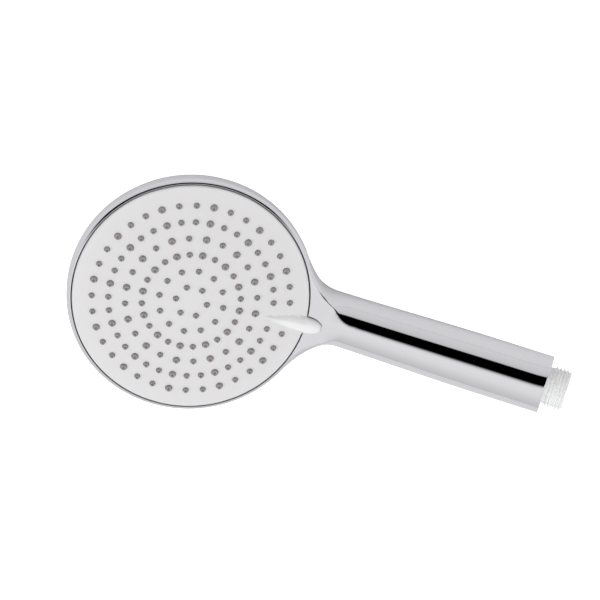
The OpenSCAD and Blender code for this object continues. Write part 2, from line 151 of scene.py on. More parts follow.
def maths(tree, operation, first, second=None, third=None):
    """A Math node fed by sockets or plain numbers; returns its output."""
    node = new_node(tree, "ShaderNodeMath", operation=operation)
    for place, value in enumerate((first, second, third)):
        if value is None:
            continue
        if isinstance(value, (int, float)):
            node.inputs[place].default_value = value
        else:
            tree.links.new(value, node.inputs[place])
    return node.outputs[0]


def fill(node, **values):
    """Sets a node's inputs; an underscore in a name stands for a space."""
    for label, value in values.items():
        node.inputs[label.replace("_", " ")].default_value = value


def new_group(name, inputs, outputs):
    group = bpy.data.node_groups.new(name, "ShaderNodeTree")
    for label, default in inputs:
        kind = "NodeSocketVector" if default is None else "NodeSocketFloat"
        socket = group.interface.new_socket(label, in_out="INPUT", socket_type=kind)
        if default is not None:
            socket.default_value = default
    for label in outputs:
        group.interface.new_socket(label, in_out="OUTPUT", socket_type="NodeSocketFloat")
    entry = new_node(group, "NodeGroupInput", (-600, 0))
    leave = new_node(group, "NodeGroupOutput", (600, 0))
    return group, entry, leave


def noise(tree, vector, scale, detail=3.0, roughness=0.55):
    node = new_node(tree, "ShaderNodeTexNoise")
    fill(node, Detail=detail, Roughness=roughness)
    tree.links.new(vector, node.inputs["Vector"])
    if isinstance(scale, (int, float)):
        node.inputs["Scale"].default_value = scale
    else:
        tree.links.new(scale, node.inputs["Scale"])
    return node.outputs["Fac"]


def soft_step(tree, value, start, end):
    """0 before start and 1 after end, with a smooth rise between."""
    node = new_node(tree, "ShaderNodeMapRange", interpolation_type="SMOOTHSTEP")
    fill(node, From_Min=start, From_Max=end)
    tree.links.new(value, node.inputs["Value"])
    return node.outputs[0]


def centred(tree, value, amount):
    """A 0..1 value turned into plus or minus half of amount."""
    return maths(tree, "MULTIPLY", maths(tree, "SUBTRACT", value, 0.5), amount)


def moulded_grain_group():
    """Fine moulded or rubbed grain: a tone that varies round 1, a roughness offset and a height."""
    group, entry, leave = new_group(
        "moulded_grain",
        [("Vector", None), ("Grain Scale", 2500.0), ("Tone Amount", 0.04), ("Roughness Amount", 0.1)],
        ["Tone", "Roughness Offset", "Height"])
    link = group.links.new
    fine = noise(group, entry.outputs["Vector"], entry.outputs["Grain Scale"], 2.0)
    broad = noise(group, entry.outputs["Vector"], 38.0, 4.0)
    tone = maths(group, "ADD", centred(group, broad, entry.outputs["Tone Amount"]), 1.0)
    fine_tone = centred(group, fine, maths(group, "MULTIPLY", entry.outputs["Tone Amount"], 0.6))
    link(maths(group, "ADD", tone, fine_tone), leave.inputs["Tone"])
    rough = centred(group, broad, entry.outputs["Roughness Amount"])
    link(rough, leave.inputs["Roughness Offset"])
    link(fine, leave.inputs["Height"])
    return group


def handling_group():
    """Dried droplets and faint wipe marks of a part used in water: a mask from 0 to 1."""
    group, entry, leave = new_group(
        "handling_marks", [("Vector", None), ("Spot Scale", 160.0), ("Wipe Scale", 24.0)],
        ["Spots", "Wipes"])
    link = group.links.new
    spots = new_node(group, "ShaderNodeTexVoronoi", feature="F1")
    link(entry.outputs["Vector"], spots.inputs["Vector"])
    link(entry.outputs["Spot Scale"], spots.inputs["Scale"])
    near = soft_step(group, spots.outputs["Distance"], 0.16, 0.10)
    where = soft_step(group, noise(group, entry.outputs["Vector"], 55.0, 1.0), 0.58, 0.66)
    link(maths(group, "MULTIPLY", near, where), leave.inputs["Spots"])
    stretch = new_node(group, "ShaderNodeVectorMath", operation="MULTIPLY")
    stretch.inputs[1].default_value = (0.35, 1.6, 1.0)
    link(entry.outputs["Vector"], stretch.inputs[0])
    wipes = noise(group, stretch.outputs[0], entry.outputs["Wipe Scale"], 5.0, 0.6)
    link(soft_step(group, wipes, 0.48, 0.72), leave.inputs["Wipes"])
    return group


MOULDED_GRAIN = moulded_grain_group()
HANDLING_MARKS = handling_group()


def place_group(tree, group, vector, **values):
    node = new_node(tree, "ShaderNodeGroup", (-400, 0), node_tree=group)
    tree.links.new(vector, node.inputs["Vector"])
    fill(node, **values)
    return node


SHADE_SHARE = 0.8        # the shaded tone's share of a colour
TONE_GAIN = 4.0
TONE_BASE = 0.9
SCATTER_DEPTH = 0.002    # how far light spreads in the milky plastics, in metres


def finish_material(name, colour, roughness, grain_scale=2500.0, tone=0.04, rough_amount=0.1,
                    grain_depth=0.00001, marks=0.0, metallic=0.0, coat=0.0, coat_roughness=0.08,
                    ior=1.5, sheen=0.0, subsurface=0.0, share=None, painted_light_colour=None):
    """A Principled material whose colour, roughness and height vary through the shared groups; a named mesh
    attribute can mix in a second, lighter colour, which is painted light.
    """
    material = bpy.data.materials.new(name)
    material.use_nodes = True
    tree = material.node_tree
    tree.nodes.clear()
    link = tree.links.new
    out = new_node(tree, "ShaderNodeOutputMaterial", (500, 0))
    shader = new_node(tree, "ShaderNodeBsdfPrincipled", (200, 0))
    link(shader.outputs[0], out.inputs[0])
    where = new_node(tree, "ShaderNodeTexCoord", (-900, 0)).outputs["Object"]
    if share:
        mask = new_node(tree, "ShaderNodeAttribute", attribute_name=share)
    grain = place_group(tree, MOULDED_GRAIN, where, Grain_Scale=grain_scale, Tone_Amount=tone,
                        Roughness_Amount=rough_amount)
    used = place_group(tree, HANDLING_MARKS, where)
    tint = new_node(tree, "ShaderNodeMix", data_type="RGBA")
    fill(tint, A=(*[c * SHADE_SHARE for c in colour], 1), B=(*colour, 1))
    off = maths(tree, "SUBTRACT", grain.outputs["Tone"], 1.0)
    lift = maths(tree, "ADD", maths(tree, "MULTIPLY", off, TONE_GAIN), TONE_BASE)
    link(lift, tint.inputs["Factor"])
    finish = tint.outputs["Result"]
    # Painted light: the attribute named by share mixes in a lighter base colour, so one area of the same material
    # looks more brightly lit.
    if share:
        own = new_node(tree, "ShaderNodeMix", data_type="RGBA")
        fill(own, B=(*painted_light_colour, 1))
        link(mask.outputs["Fac"], own.inputs["Factor"])
        link(finish, own.inputs["A"])
        finish = own.outputs["Result"]
    link(finish, shader.inputs["Base Color"])
    rough = maths(tree, "ADD", grain.outputs["Roughness Offset"], roughness)
    marked = maths(tree, "MULTIPLY_ADD", used.outputs["Wipes"], marks, rough)
    spotted = maths(tree, "MULTIPLY_ADD", used.outputs["Spots"], marks * 1.5, marked)
    link(spotted, shader.inputs["Roughness"])
    bump = new_node(tree, "ShaderNodeBump")
    fill(bump, Distance=grain_depth, Strength=0.6)
    link(grain.outputs["Height"], bump.inputs["Height"])
    link(bump.outputs[0], shader.inputs["Normal"])
    fill(shader, Metallic=metallic, IOR=ior, Coat_Weight=coat, Coat_Roughness=coat_roughness,
         Sheen_Weight=sheen, Subsurface_Weight=subsurface, Subsurface_Scale=SCATTER_DEPTH)
    return material


MATERIALS = {
    "chrome_shell": finish_material(
        "chrome_plating", (0.80, 0.80, 0.815), 0.045, 700.0, 0.006, 0.02, 0.0000012, 0.05, metallic=1.0),
    # The white face's second, lighter colour is painted light on the lever: the lever is the same white moulding
    # as the face, only lit brighter.
    "white_face": finish_material(
        "gloss_white_abs", (0.80, 0.79, 0.79), 0.16, 1800.0, 0.015, 0.05, 0.000003, 0.06, coat=0.5,
        share="lever_painted_light", painted_light_colour=(0.90, 0.90, 0.895)),
    "nozzle_silicone": finish_material(
        "grey_silicone", (0.33, 0.315, 0.305), 0.46, 3200.0, 0.12, 0.16, 0.00002, 0.05, sheen=0.15,
        subsurface=0.08),
    "white_acetal": finish_material(
        "white_acetal", (0.93, 0.93, 0.92), 0.34, 2600.0, 0.03, 0.12, 0.000012, 0.05, subsurface=0.06),
    "white_abs": finish_material(
        "satin_white_abs", (0.80, 0.80, 0.79), 0.42, 2400.0, 0.03, 0.12, 0.000012, 0.04),
    "ivory_abs": finish_material(
        "natural_abs", (0.72, 0.70, 0.62), 0.45, 2400.0, 0.05, 0.12, 0.000015, 0.04),
    "black_acetal": finish_material(
        "black_acetal", (0.03, 0.03, 0.033), 0.36, 2600.0, 0.10, 0.14, 0.000014, 0.08),
    "black_rubber": finish_material(
        "black_epdm", (0.022, 0.022, 0.022), 0.58, 4200.0, 0.14, 0.16, 0.00003, 0.05, sheen=0.1),
    "grey_rubber": finish_material(
        "grey_epdm", (0.12, 0.12, 0.125), 0.62, 4200.0, 0.12, 0.16, 0.00003, 0.05, sheen=0.1),
    "stainless": finish_material(
        "drawn_stainless", (0.62, 0.62, 0.63), 0.24, 5200.0, 0.06, 0.14, 0.000006, 0.06, metallic=1.0),
}
NODE_SLOTS = {row["node"]: row["material_slot"] for row in frame["record"]["subparts"]}
SMOOTH_ANGLE = math.radians(35)
for node_name, node_object in frame["nodes"].items():
    node_object.data.materials.clear()
    node_object.data.materials.append(MATERIALS[NODE_SLOTS[node_name]])


# ---- Shapes given by a distance ----

def ease(t):
    t = np.clip(t, 0, 1)
    return t * t * (3 - 2 * t)


def round_meet(a, b, radius):
    """Where both distances hold, with the outer corner rounded."""
    corner = np.hypot(np.maximum(a + radius, 0), np.maximum(b + radius, 0))
    return np.minimum(np.maximum(a, b), -radius) + corner


def round_join(a, b, radius):
    """Where either distance holds, with the inner corner filled."""
    return -round_meet(-a, -b, radius)


def grip_radius(s):
    return NECK_R + (END_R - NECK_R) * ease(s / GRIP_LEN * 1.6 - 0.2)


ROOT_BEND = 8.0          # half length over which the handle's line turns into the ridge's
RIDGE_THIN = 5.0         # how much thinner the ridge is at the middle of the back


def grip_distance(p):
    """Distance to the handle and to the ridge that carries it across the back."""
    x, y, z = p[..., 0], p[..., 1], p[..., 2]
    t = x - ROOT[0]
    inside = np.abs(t) < ROOT_BEND
    run = np.where(inside, (t + ROOT_BEND) ** 2 / (4 * ROOT_BEND), np.maximum(t, 0))
    slope = GRIP_SLOPE * np.where(inside, (t + ROOT_BEND) / (2 * ROOT_BEND), (t > 0))
    line_z = ROOT[2] + GRIP_SLOPE * run
    s = (p - ROOT) @ GRIP_DIR
    radius = grip_radius(s) - RIDGE_THIN * ease((56 - x) / 56)
    across = (z - line_z) / np.sqrt(1 + slope ** 2)
    return np.sqrt(np.minimum(x, 0) ** 2 + y ** 2 + across ** 2) - radius


def shell_distance(p):
    """Distance to the outside of the chromed housing, solid from the front plane to the back."""
    x, y, z = p[..., 0], p[..., 1], p[..., 2]
    r = np.hypot(x, y)
    side = r - RIM_R
    back = np.sqrt(r ** 2 + (z - BACK_MID_Z) ** 2) - BACK_R
    grip = grip_distance(p)
    head = round_meet(side, back, 3.0)
    joined = round_join(head, grip, 4 + (NECK_FILLET - 4) * ease((x - 25) / 32))
    front = round_join(z - RIM_FRONT_Z, grip, 1 + 3 * ease((x - 64) / 12))
    edge = LIP_ROUND - (LIP_ROUND - 0.3) * ease((x - 58) / 12) - 0.29 * ease((x - 72) / 16)
    capped = round_meet(joined, front, edge)
    return round_meet(capped, LAND_Z - z, 0.8)


def slope_of(distance, p, step=1e-3):
    """The distance's gradient by central differences."""
    parts = []
    for axis in range(3):
        shift = np.zeros(3)
        shift[axis] = step
        parts.append((distance(p + shift) - distance(p - shift)) / (2 * step))
    return np.stack(parts, -1)


def settle(distance, p, rounds=6):
    """Moves points onto the zero surface; returns them with their outward normals."""
    for _ in range(rounds):
        gradient = slope_of(distance, p)
        length2 = np.maximum((gradient ** 2).sum(-1, keepdims=True), 1e-6)
        step = distance(p)[..., None] * gradient / length2
        p = p - np.clip(step, -0.8, 0.8)
    gradient = slope_of(distance, p)
    return p, gradient / np.maximum(np.linalg.norm(gradient, axis=-1, keepdims=True), 1e-9)


def polar_skin(distance, angles, radii, heights):
    """Surface nets on a polar grid that closes round its axis: points and quads."""
    a, r, h = np.meshgrid(angles, radii, heights, indexing="ij")
    value = distance(np.stack([r * np.cos(a), r * np.sin(a), h], -1))
    full = np.concatenate([value, value[:1]], 0)
    turns = np.append(angles, angles[0] + 2 * np.pi)
    count = (len(angles), len(radii) - 1, len(heights) - 1)
    total = np.zeros(count + (3,))
    hits = np.zeros(count)
    corners = [(i, j, k) for i in (0, 1) for j in (0, 1) for k in (0, 1)]

    def at(corner):
        i, j, k = corner
        part = full[i:i + count[0], j:j + count[1], k:k + count[2]]
        places = np.stack(np.meshgrid(turns[i:i + count[0]], radii[j:j + count[1]], heights[k:k + count[2]],
                                      indexing="ij"), -1)
        return part, places

    for first in corners:
        for second in corners:
            if sum(second) - sum(first) != 1 or any(s < f for s, f in zip(second, first)):
                continue
            low, low_place = at(first)
            high, high_place = at(second)
            crossed = (low < 0) != (high < 0)
            share = np.where(crossed, low / np.where(crossed, low - high, 1), 0)[..., None]
            total += np.where(crossed[..., None], low_place + share * (high_place - low_place), 0)
            hits += crossed
    used = hits > 0
    number = -np.ones(count, int)
    number[used] = np.arange(used.sum())
    spots = total[used] / hits[used][:, None]
    points = np.stack([spots[:, 1] * np.cos(spots[:, 0]), spots[:, 1] * np.sin(spots[:, 0]), spots[:, 2]], -1)
    inside = value < 0
    quads = []

    def add(c0, c1, c2, c3, start_inside):
        q = np.stack([c0, c1, c2, c3], -1)
        q[~start_inside] = q[~start_inside][:, ::-1]
        quads.append(q)

    n = count[0]
    cut = inside[:, 1:-1, 1:-1] != np.roll(inside, -1, 0)[:, 1:-1, 1:-1]
    i, j, k = np.nonzero(cut)
    add(number[i, j, k], number[i, j, k + 1], number[i, j + 1, k + 1], number[i, j + 1, k],
        inside[i, j + 1, k + 1])
    cut = inside[:, :-1, 1:-1] != inside[:, 1:, 1:-1]
    i, j, k = np.nonzero(cut)
    before = (i - 1) % n
    add(number[before, j, k], number[i, j, k], number[i, j, k + 1], number[before, j, k + 1],
        inside[i, j, k + 1])
    cut = inside[:, 1:-1, :-1] != inside[:, 1:-1, 1:]
    i, j, k = np.nonzero(cut)
    before = (i - 1) % n
    add(number[before, j, k], number[before, j + 1, k], number[i, j + 1, k], number[i, j, k],
        inside[i, j + 1, k])
    return points, np.concatenate(quads)


def make_object(name, points, faces, material, normals=None):
    """A mesh object in the row frame from head-frame millimetres."""
    mesh = bpy.data.meshes.new(name)
    mesh.from_pydata(to_row(points).tolist(), [], [[int(v) for v in face] for face in faces])
    mesh.update()
    mesh.materials.append(material)
    mesh.polygons.foreach_set("use_smooth", [True] * len(mesh.polygons))
    if normals is not None:
        mesh.normals_split_custom_set_from_vertices(normals.tolist())
    return add_object(name, mesh)


def finish_piece(piece, body, slot, *nodes):
    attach(piece, body)
    if nodes:
        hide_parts(*nodes)
    return piece


def carry_rows(points, normals, faces, loop, origin, axis, side, up, rows):
    """Carries a closed loop of points along rows of (place, radius) about an axis; returns the last loop."""
    base = np.array([points[v] for v in loop]) - origin
    turn_angle = np.arctan2(base @ up, base @ side)
    ring_dir = np.cos(turn_angle)[:, None] * side + np.sin(turn_angle)[:, None] * up
    rows = np.array(rows, float)
    steps = np.diff(rows, axis=0)
    lengths = np.maximum(np.linalg.norm(steps, axis=1, keepdims=True), 1e-9)
    facing = np.stack([-steps[:, 1], steps[:, 0]], 1) / lengths
    for number in range(1, len(rows)):
        after = facing[min(number, len(facing) - 1)]
        mean = facing[number - 1] + after
        mean /= max(np.linalg.norm(mean), 1e-9)
        place, radius = rows[number]
        ring = origin + axis * place + radius * ring_dir
        first = len(points)
        points.extend(ring)
        normals.extend(mean[0] * axis + mean[1] * ring_dir)
        fresh = list(range(first, first + len(loop)))
        a, b, c = (np.array(points[v]) for v in (loop[0], loop[1], fresh[1]))
        want = facing[number - 1][0] * axis + facing[number - 1][1] * ring_dir[0]
        straight = np.cross(b - a, c - a) @ want > 0
        count = len(loop)
        for v in range(count):
            w = (v + 1) % count
            quad = [loop[v], loop[w], fresh[w], fresh[v]]
            faces.append(quad if straight else quad[::-1])
        loop = fresh
    return loop


def close_loop(points, normals, faces, loop, centre, normal):
    """Closes a loop with a fan round one point."""
    points.append(np.array(centre, float))
    normals.append(np.array(normal, float))
    tip = len(points) - 1
    a, b = np.array(points[loop[0]]), np.array(points[loop[1]])
    straight = np.cross(b - a, points[tip] - a) @ normals[tip] > 0
    for v in range(len(loop)):
        fan = [loop[v], loop[(v + 1) % len(loop)], tip]
        faces.append(fan if straight else fan[::-1])


def edge_loops(faces):
    """The open edges of a list of faces, as ordered loops of vertices."""
    seen = {}
    for face in faces:
        for v, w in zip(face, list(face[1:]) + [face[0]]):
            seen[(v, w)] = True
    follow = {v: w for v, w in seen if (w, v) not in seen}
    loops = []
    while follow:
        start, after = next(iter(follow.items()))
        loop = [start]
        del follow[start]
        while after != start:
            loop.append(after)
            after = follow.pop(after)
        loops.append(loop)
    return loops


# ---- Chromed housing ----

SEAM_S = 35.0            # where the blended neck hands over to the plain handle
LIP_CUT_R = 59.7         # inside this the front plane is open
STATION_STEP = 4.0
BORE_END_S = 8.0
CAVITY_RADII = (58.6, 54, 48, 41, 33, 24, 14, 5)


def lip_height(r):
    """Height of the rounded lip between the side band and the gap round the face."""
    return RIM_FRONT_Z - LIP_ROUND + math.sqrt(LIP_ROUND ** 2 - (r - RIM_R + LIP_ROUND) ** 2)


def build_housing():
    angles = np.radians(np.concatenate([np.arange(-36, 36, 0.9), np.arange(36, 324, 1.8)]))
    radii = np.concatenate([np.arange(2, 57, 2.2), np.arange(57.4, 63.2, 0.5), np.arange(63.8, 101, 1.3)])
    heights = np.concatenate([np.arange(-34, -4, 1.4), np.arange(-3.7, 0.6, 0.35), np.arange(0.9, 12, 1.2)])
    points, quads = polar_skin(shell_distance, angles, radii, heights)
    points, _ = settle(shell_distance, points)
    middle = points[quads].mean(1)
    front = (np.hypot(middle[:, 0], middle[:, 1]) < LIP_CUT_R) & (middle[:, 2] > -3)
    mesh = bmesh.new()
    verts = [mesh.verts.new(p) for p in points]
    for quad in quads[~front]:
        mesh.faces.new([verts[v] for v in quad])
    seam = ROOT + GRIP_DIR * SEAM_S
    bmesh.ops.bisect_plane(mesh, geom=mesh.verts[:] + mesh.edges[:] + mesh.faces[:], dist=1e-4,
                           plane_co=seam, plane_no=GRIP_DIR, clear_outer=True)
    bmesh.ops.delete(mesh, geom=[v for v in mesh.verts if not v.link_faces], context="VERTS")
    mesh.verts.index_update()
    points = [np.array(v.co) for v in mesh.verts]
    faces = [[v.index for v in f.verts] for f in mesh.faces]
    mesh.free()
    settled, normals = settle(shell_distance, np.array(points), 2)
    at_seam = np.abs((np.array(points) - seam) @ GRIP_DIR) < 1e-3
    settled[at_seam] -= ((settled[at_seam] - seam) @ GRIP_DIR)[:, None] * GRIP_DIR
    points, normals = list(settled), list(normals)
    for loop in edge_loops(faces):
        spots = np.array([points[v] for v in loop])
        loop = loop[::-1]
        if np.abs((spots - seam) @ GRIP_DIR).max() < 0.2:
            stations = [(s, float(grip_radius(s))) for s in np.arange(SEAM_S, GRIP_LEN - 2, STATION_STEP)]
            end = [(GRIP_LEN - 0.5, END_R), (GRIP_LEN - 0.25, END_R - 0.03), (GRIP_LEN - 0.08, END_R - 0.12),
                   (GRIP_LEN, END_R - 0.3), (GRIP_LEN, END_R - 0.6), (GRIP_LEN, GRIP_BORE_R + 0.4),
                   (GRIP_LEN - 0.06, GRIP_BORE_R + 0.16), (GRIP_LEN - 0.25, GRIP_BORE_R),
                   (GRIP_LEN - 20, GRIP_BORE_R), (BORE_END_S, GRIP_BORE_R), (BORE_END_S, 4.0)]
            rows = stations + end
            last = carry_rows(points, normals, faces, loop, ROOT, GRIP_DIR, GRIP_SIDE, GRIP_UP, rows)
            close_loop(points, normals, faces, last, ROOT + GRIP_DIR * BORE_END_S, GRIP_DIR)
        elif spots[:, 2].mean() > -3:
            inner = BACK_R - WALL
            dome = [(BACK_MID_Z - math.sqrt(inner ** 2 - r ** 2), r) for r in CAVITY_RADII]
            start = float(np.hypot(spots[:, 0], spots[:, 1]).mean())
            lip = [(lip_height(r), r) for r in np.arange(start, LIP_BORE_R + 0.16, -0.12)]
            edge = lip_height(LIP_BORE_R)
            bore = [(edge - 0.02, LIP_BORE_R + 0.1), (edge - 0.1, LIP_BORE_R + 0.02),
                    (edge - 0.25, LIP_BORE_R), (-4.0, LIP_BORE_R), (-10.2, LIP_BORE_R)]
            rows = lip + bore + dome
            last = carry_rows(points, normals, faces, loop, np.zeros(3), np.array([0.0, 0, 1]),
                              np.array([1.0, 0, 0]), np.array([0.0, 1, 0]), rows)
            close_loop(points, normals, faces, last, (0, 0, BACK_MID_Z - inner), (0, 0, 1))
        else:
            close_loop(points, normals, faces, loop, (0, 0, LAND_Z), (0, 0, -1))
    piece = make_object("housing", np.array(points), faces, MATERIALS["chrome_shell"], np.array(normals))
    return finish_piece(piece, "body", "chrome_shell", "body_shell")


build_housing()


# ---- White spray face with its selector lever ----

LEVER_START_X = 36.0
LEVER_BELLY_X = 57.0
LEVER_REACH = 10.3
LEVER_HALF_W = 4.3
LEVER_UNDER_Z = 0.3
SKIRT_R = 56.85
SKIRT_Z = -7.6
FACE_EDGE_ROUND = 0.8
HOLE_GAP = 0.12


def dome_height(r):
    return FACE_SPHERE_Z + np.sqrt(FACE_SPHERE_R ** 2 - r ** 2)


def lever_half_width(x):
    along = np.clip((x - LEVER_BELLY_X) / LEVER_REACH, 0, 1)
    return np.where(x < LEVER_BELLY_X,
                    1.2 + (LEVER_HALF_W - 1.2) * ease((x - LEVER_START_X) / (LEVER_BELLY_X - LEVER_START_X)),
                    LEVER_HALF_W * np.sqrt(np.maximum(1 - along ** 2.6, 0)))


def face_height(x, y):
    """Height of the face's outer surface, lever included, with the lever along +X."""
    r = np.minimum(np.hypot(x, y), FACE_R - 1e-4)
    rounding = np.maximum(r - (FACE_R - FACE_EDGE_ROUND), 0)
    plain = dome_height(r) - (FACE_EDGE_ROUND - np.sqrt(np.maximum(FACE_EDGE_ROUND ** 2 - rounding ** 2, 0)))
    past = np.hypot(x, y)
    crest = np.where(x < 58, 3.2 + 0.45 * ease((x - 37) / 21) - 0.3 * np.maximum(37 - x, 0),
                     3.65 - 0.85 * np.clip((x - 58) / 9.3, 0, 1) ** 2)
    blend = 1.3
    foot = dome_height(np.minimum(past, FACE_R)) - blend
    foot = foot + (0.7 - foot) * ease((past - 57.6) / 1.6)
    width = np.maximum(lever_half_width(x), 0.05)
    share = np.abs(y) / width
    tip = np.clip((x - LEVER_BELLY_X) / LEVER_REACH, 0, 1)
    fullness = np.maximum(1 - np.minimum(share, 1) ** 2.2, 0) * np.maximum(1 - tip ** 6, 0)
    lever = foot + (crest - foot) * fullness ** 0.6 - np.maximum(share - 1, 0) * width
    lever = lever - np.maximum(LEVER_START_X + 2 - x, 0)
    mixed = np.maximum(plain, lever) + np.maximum(blend - np.abs(plain - lever), 0) ** 2 / (4 * blend)
    return np.where(past > FACE_R + 0.02, lever, mixed)


def nozzle_places():
    """Centre x and y, and base radius, of every nozzle, in the lever's own frame."""
    places = []
    for ring, (radius, count, every) in enumerate(RINGS):
        for place in range(count):
            if ring < LEVER_RINGS and place == 0:
                continue
            angle = 2 * math.pi * place / count - LEVER_TURN
            large = every < 99 and place % every == 0
            places.append((radius * math.cos(angle), radius * math.sin(angle),
                           NUB_LARGE_R if large else NUB_SMALL_R))
    return np.array(places)


def build_face():
    nozzles = nozzle_places()
    points, edges = [], []

    def add_loop(loop, closed=True):
        first = len(points)
        points.extend(loop)
        count = len(loop)
        edges.extend([(first + v, first + (v + 1) % count) for v in range(count if closed else count - 1)])

    xs = np.linspace(LEVER_BELLY_X, LEVER_BELLY_X + LEVER_REACH, 4001)
    outside = xs[np.hypot(xs, lever_half_width(xs)) > FACE_R]
    corner = math.atan2(float(lever_half_width(outside[0])), outside[0])
    sweep = np.linspace(0, 1, 22)
    leaf_x = outside[0] + (outside[-1] - outside[0]) * np.sin(sweep * math.pi / 2)
    upper = [(x, float(lever_half_width(x))) for x in leaf_x]
    upper[-1] = (LEVER_BELLY_X + LEVER_REACH, 0.0)
    rim_angles = np.linspace(corner, 2 * math.pi - corner, 260)[1:-1]
    lower = [(x, -y) for x, y in upper[:-1]]
    rim = [(FACE_R * math.cos(a), FACE_R * math.sin(a)) for a in rim_angles]
    add_loop(rim + lower + upper[::-1])
    hole_turns = around(20)
    for x, y, radius in nozzles:
        hole = radius + HOLE_GAP
        add_loop([(x + hole * math.cos(a), y + hole * math.sin(a)) for a in hole_turns])
    under = np.linspace(-corner * 0.98, corner * 0.98, 17)
    for radius in (FACE_R, FACE_R + 0.06):
        add_loop([(radius * math.cos(a), radius * math.sin(a)) for a in under], closed=False)
    loose = []
    for radius in (FACE_R - 0.08, FACE_R - 0.22, FACE_R - 0.45, FACE_R - 0.8, SKIRT_R + 0.05, SKIRT_R - 0.05):
        turns = around(260)
        loose.append(np.stack([radius * np.cos(turns), radius * np.sin(turns)], 1))
    for radius in np.arange(2.6, 56, 2.6):
        turns = np.arange(0, 2 * math.pi, 2.6 / radius)
        loose.append(np.stack([radius * np.cos(turns), radius * np.sin(turns)], 1))
    gx, gy = np.meshgrid(np.arange(34, 67.6, 0.7), np.arange(-6.3, 6.4, 0.7))
    loose.append(np.stack([gx.ravel(), gy.ravel()], 1))
    loose = np.concatenate(loose)
    r = np.hypot(*loose.T)
    in_leaf = (np.abs(loose[:, 1]) < lever_half_width(loose[:, 0]) - 0.3) & (loose[:, 0] < 66.8)
    keep = (r < FACE_R - 0.05) | (in_leaf & (r > FACE_R + 0.3))
    for x, y, radius in nozzles:
        keep &= np.hypot(loose[:, 0] - x, loose[:, 1] - y) > radius + HOLE_GAP + 0.25
    points.extend(map(tuple, loose[keep]))
    flat, _, cells, _, _, _ = delaunay_2d_cdt([Vector(p) for p in points], edges, [], 0, 1e-5)
    flat = np.array([tuple(p) for p in flat])
    cells = np.array([c if len(c) == 3 else c[:3] for c in cells])
    middle = flat[cells].mean(1)
    mr = np.hypot(*middle.T)
    good = (mr < FACE_R) | ((np.abs(middle[:, 1]) < lever_half_width(middle[:, 0])) & (middle[:, 0] > 40))
    for x, y, radius in nozzles:
        good &= np.hypot(middle[:, 0] - x, middle[:, 1] - y) > radius + HOLE_GAP - 0.02
    cells = cells[good]
    a, b, c = (flat[cells[:, v]] for v in range(3))
    area = (b[:, 0] - a[:, 0]) * (c[:, 1] - a[:, 1]) - (b[:, 1] - a[:, 1]) * (c[:, 0] - a[:, 0])
    cells[area < 0] = cells[area < 0][:, ::-1]
    cells = cells[np.abs(area) > 1e-9]
    r = np.hypot(*flat.T)
    top = face_height(flat[:, 0], flat[:, 1])
    bottom = np.where(r < SKIRT_R, top - FACE_T, np.where(r < FACE_R + 0.03, SKIRT_Z, LEVER_UNDER_Z))
    step = 0.04
    x, y = flat[:, 0], flat[:, 1]
    gx = (face_height(x + step, y) - face_height(x - step, y)) / (2 * step)
    gy = (face_height(x, y + step) - face_height(x, y - step)) / (2 * step)
    top_normal = np.stack([-gx, -gy, np.ones(len(flat))], 1)
    top_normal /= np.linalg.norm(top_normal, axis=1, keepdims=True)
    count = len(flat)
    spots = np.concatenate([np.column_stack([flat, top]), np.column_stack([flat, bottom])])
    faces = [list(cell) for cell in cells] + [[v + count for v in cell[::-1]] for cell in cells]
    corners = [top_normal[v] for cell in cells for v in cell]
    corners += [np.zeros(3)] * (3 * len(cells))
    for loop in edge_loops([list(cell) for cell in cells]):
        ring = flat[loop]
        ahead, behind = np.roll(ring, -1, 0), np.roll(ring, 1, 0)
        run = ahead - behind
        out = np.stack([run[:, 1], -run[:, 0], np.zeros(len(loop))], 1)
        out /= np.maximum(np.linalg.norm(out, axis=1, keepdims=True), 1e-9)
        for v in range(len(loop)):
            w = (v + 1) % len(loop)
            faces.append([loop[w], loop[v], loop[v] + count, loop[w] + count])
            corners += [out[w], out[v], out[v], out[w]]
    spin = np.array([[math.cos(LEVER_TURN), -math.sin(LEVER_TURN), 0],
                     [math.sin(LEVER_TURN), math.cos(LEVER_TURN), 0], [0, 0, 1]])
    piece = make_object("spray_face", spots @ spin.T, faces, MATERIALS["white_face"])
    piece.data.normals_split_custom_set((np.array(corners) @ spin.T).tolist())
    # Mask for the painted light on the lever: the lever, one moulding with the face, gets a lighter base colour as
    # if lit brighter. The mask fades out towards the lever's root and past its sides.
    share = np.abs(flat[:, 1]) / np.maximum(lever_half_width(flat[:, 0]), 0.3)
    share = ease((1.15 - share) / 0.5) * ease((flat[:, 0] - 38) / 12)
    share = np.concatenate([share, share]).astype(np.float32)
    piece.data.attributes.new("lever_painted_light", "FLOAT", "POINT").data.foreach_set("value", share)
    return finish_piece(piece, "spray_face", "white_face", "face_plate")


build_face()


# ---- Silicone mat and its nozzles ----

MAT_R = 54.4
MAT_T = 1.5
NUB_HEIGHT = 1.6
TURN_SIDES = 96


def follow_profile(tree, value, profile):
    """A Float Curve whose straight runs follow profile, a list of (place, value)."""
    node = new_node(tree, "ShaderNodeFloatCurve")
    curve = node.mapping.curves[0]
    while len(curve.points) < len(profile):
        curve.points.new(0.5, 0.5)
    for point, (place, height) in zip(curve.points, profile):
        point.location = (place, height)
        point.handle_type = "VECTOR"
    node.mapping.update()
    tree.links.new(value, node.inputs["Value"])
    return node.outputs["Value"]


def start_tree(name, sizes, material):
    """A geometry node tree with its named inputs; returns it with its input node."""
    tree = bpy.data.node_groups.new(name, "GeometryNodeTree")
    add = tree.interface.new_socket
    add("Geometry", in_out="INPUT", socket_type="NodeSocketGeometry")
    for label, kind, default in sizes:
        add(label, in_out="INPUT", socket_type="NodeSocket" + kind).default_value = default
    add(material, in_out="INPUT", socket_type="NodeSocketMaterial")
    add("Geometry", in_out="OUTPUT", socket_type="NodeSocketGeometry")
    return tree, new_node(tree, "NodeGroupInput")


